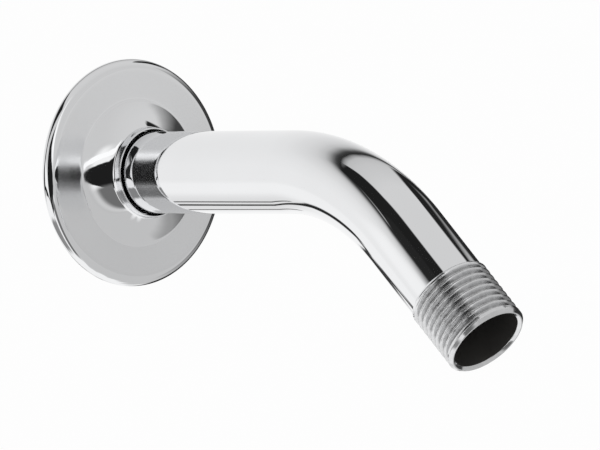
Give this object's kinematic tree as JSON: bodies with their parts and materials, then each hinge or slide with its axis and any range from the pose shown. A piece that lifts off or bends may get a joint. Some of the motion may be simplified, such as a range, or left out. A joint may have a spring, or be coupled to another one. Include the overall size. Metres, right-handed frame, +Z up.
{
  "type": "shower arm",
  "caption": "Bent chromed tube that carries water from a wall outlet to a shower head, threaded at both ends, with a round flange that slides on it to cover the hole in the wall.",
  "frame": {"origin": "on the axis of the inlet run, in the plane of the finished wall", "axes": "+X leaves the wall along the inlet run, +Z is up, and the arm bends down in the XZ plane"},
  "size_m": [0.1448, 0.0556, 0.0752],
  "materials": {
    "arm_chrome": "polished chrome plate on brass tube",
    "flange_chrome": "polished chrome plate on pressed sheet",
    "rubber": "plain black rubber"
  },
  "bodies": {
    "arm": {"arm": "arm_chrome"},
    "grip": {"grip_ring": "rubber"},
    "flange": {"flange": "flange_chrome"}
  },
  "joints": [
    {"name": "flange_slide", "type": "slide", "parent": "arm", "child": "grip", "axis": [1, 0, 0], "range_m": [0, 0.052]},
    {"name": "flange_turn", "type": "hinge", "parent": "grip", "child": "flange", "pos_m": [0, 0, 0], "axis": [1, 0, 0], "continuous": true}
  ]
}
